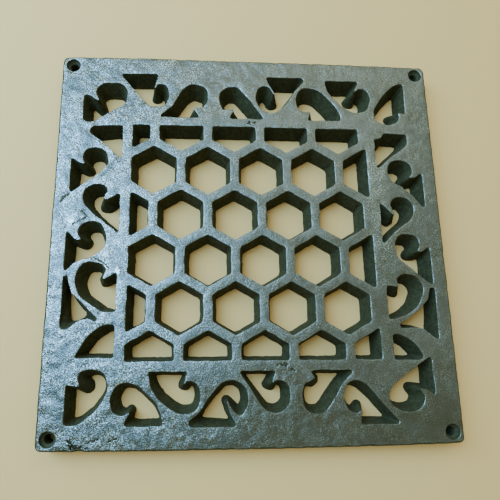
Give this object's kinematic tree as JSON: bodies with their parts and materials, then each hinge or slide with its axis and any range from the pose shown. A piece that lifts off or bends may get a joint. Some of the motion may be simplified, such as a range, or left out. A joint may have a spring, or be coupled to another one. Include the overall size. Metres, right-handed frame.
{
  "type": "cast ventilation grille",
  "caption": "Square cast-iron ventilation grille with a drafted honeycomb field, scroll openings around it and a countersunk screw hole in each corner.",
  "frame": {"origin": "middle of the flat back, which lies on the surface that the grille is fixed to", "axes": "+Z out of the face, +X to the right and +Y to the top of the face as pictured"},
  "size_m": [0.2294, 0.2336, 0.011],
  "materials": {
    "cast_iron": "sand-cast grain under a dark graphite finish, with a cool sheen on the raised edges"
  },
  "bodies": {
    "root": {"grille": "cast_iron"}
  },
  "joints": []
}
